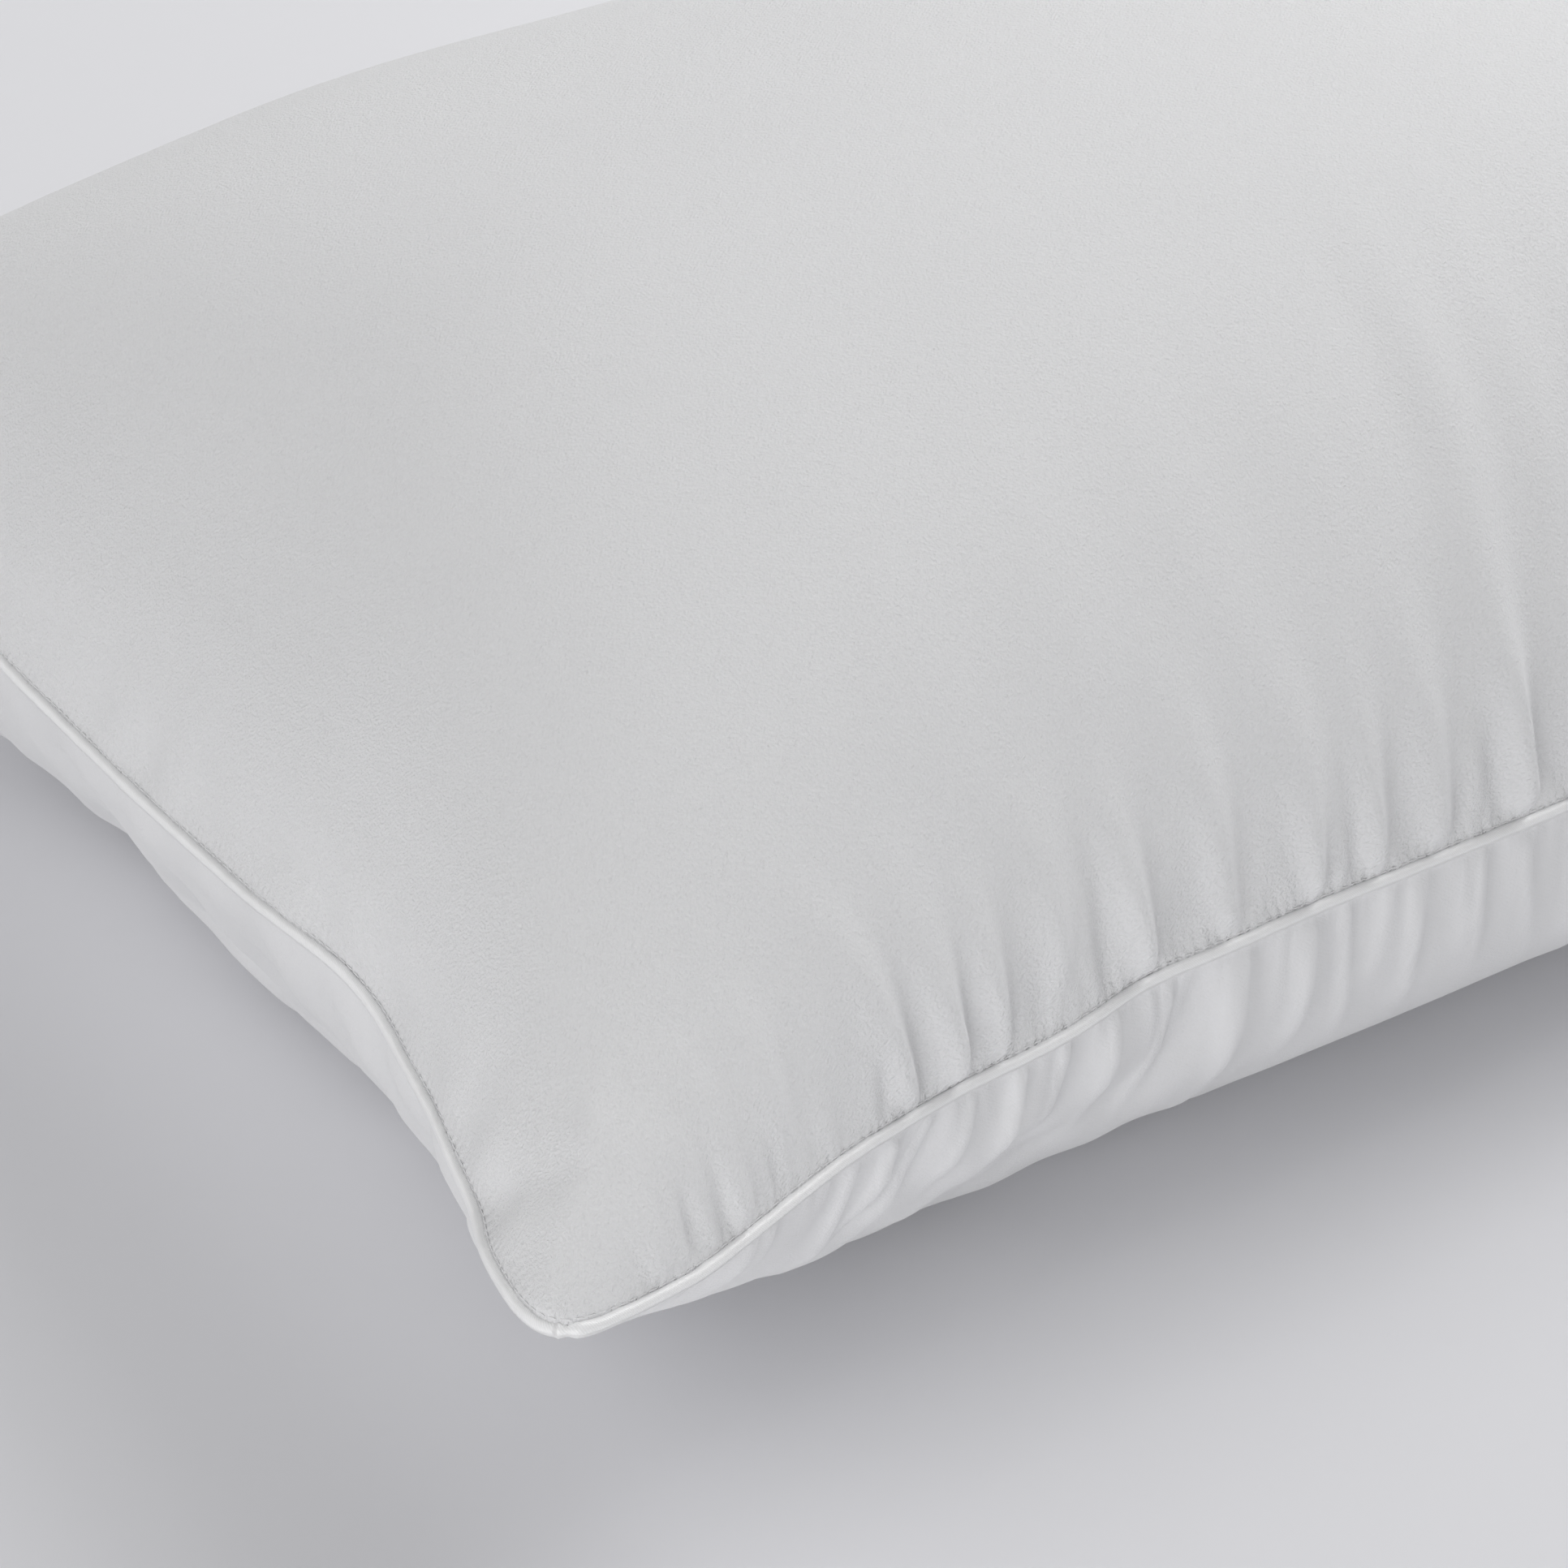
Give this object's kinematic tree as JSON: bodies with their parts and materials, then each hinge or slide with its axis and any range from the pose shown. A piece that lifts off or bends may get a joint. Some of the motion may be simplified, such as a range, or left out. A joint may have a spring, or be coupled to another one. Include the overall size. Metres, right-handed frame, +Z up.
{
  "type": "bed pillow",
  "caption": "Plump white bed pillow with a brushed cover, piped edge and soft fibre filling, lying flat on its lower face.",
  "frame": {"origin": "middle of the contact patch, on the surface that the pillow rests on, below the middle of its box", "axes": "+X along the long side, +Y along the short side, +Z up through the crown"},
  "size_m": [0.72, 0.4758, 0.202],
  "materials": {
    "cover_cloth": "brushed matte microfibre",
    "piping_cloth": "satin bias strip",
    "fibre_filling": "loose fibre",
    "cotton_cord": "twisted cotton",
    "sewing_thread": "spun polyester",
    "label_ribbon": "woven satin ribbon"
  },
  "bodies": {
    "root": {"top_panel": "cover_cloth", "bottom_panel": "cover_cloth", "fibre_fill": "fibre_filling", "piping_cord": "cotton_cord", "piping_cover": "piping_cloth", "needle_thread": "sewing_thread", "bobbin_thread": "sewing_thread", "overlock_edging": "sewing_thread", "closing_stitches": "sewing_thread", "care_label": "label_ribbon"}
  },
  "joints": []
}
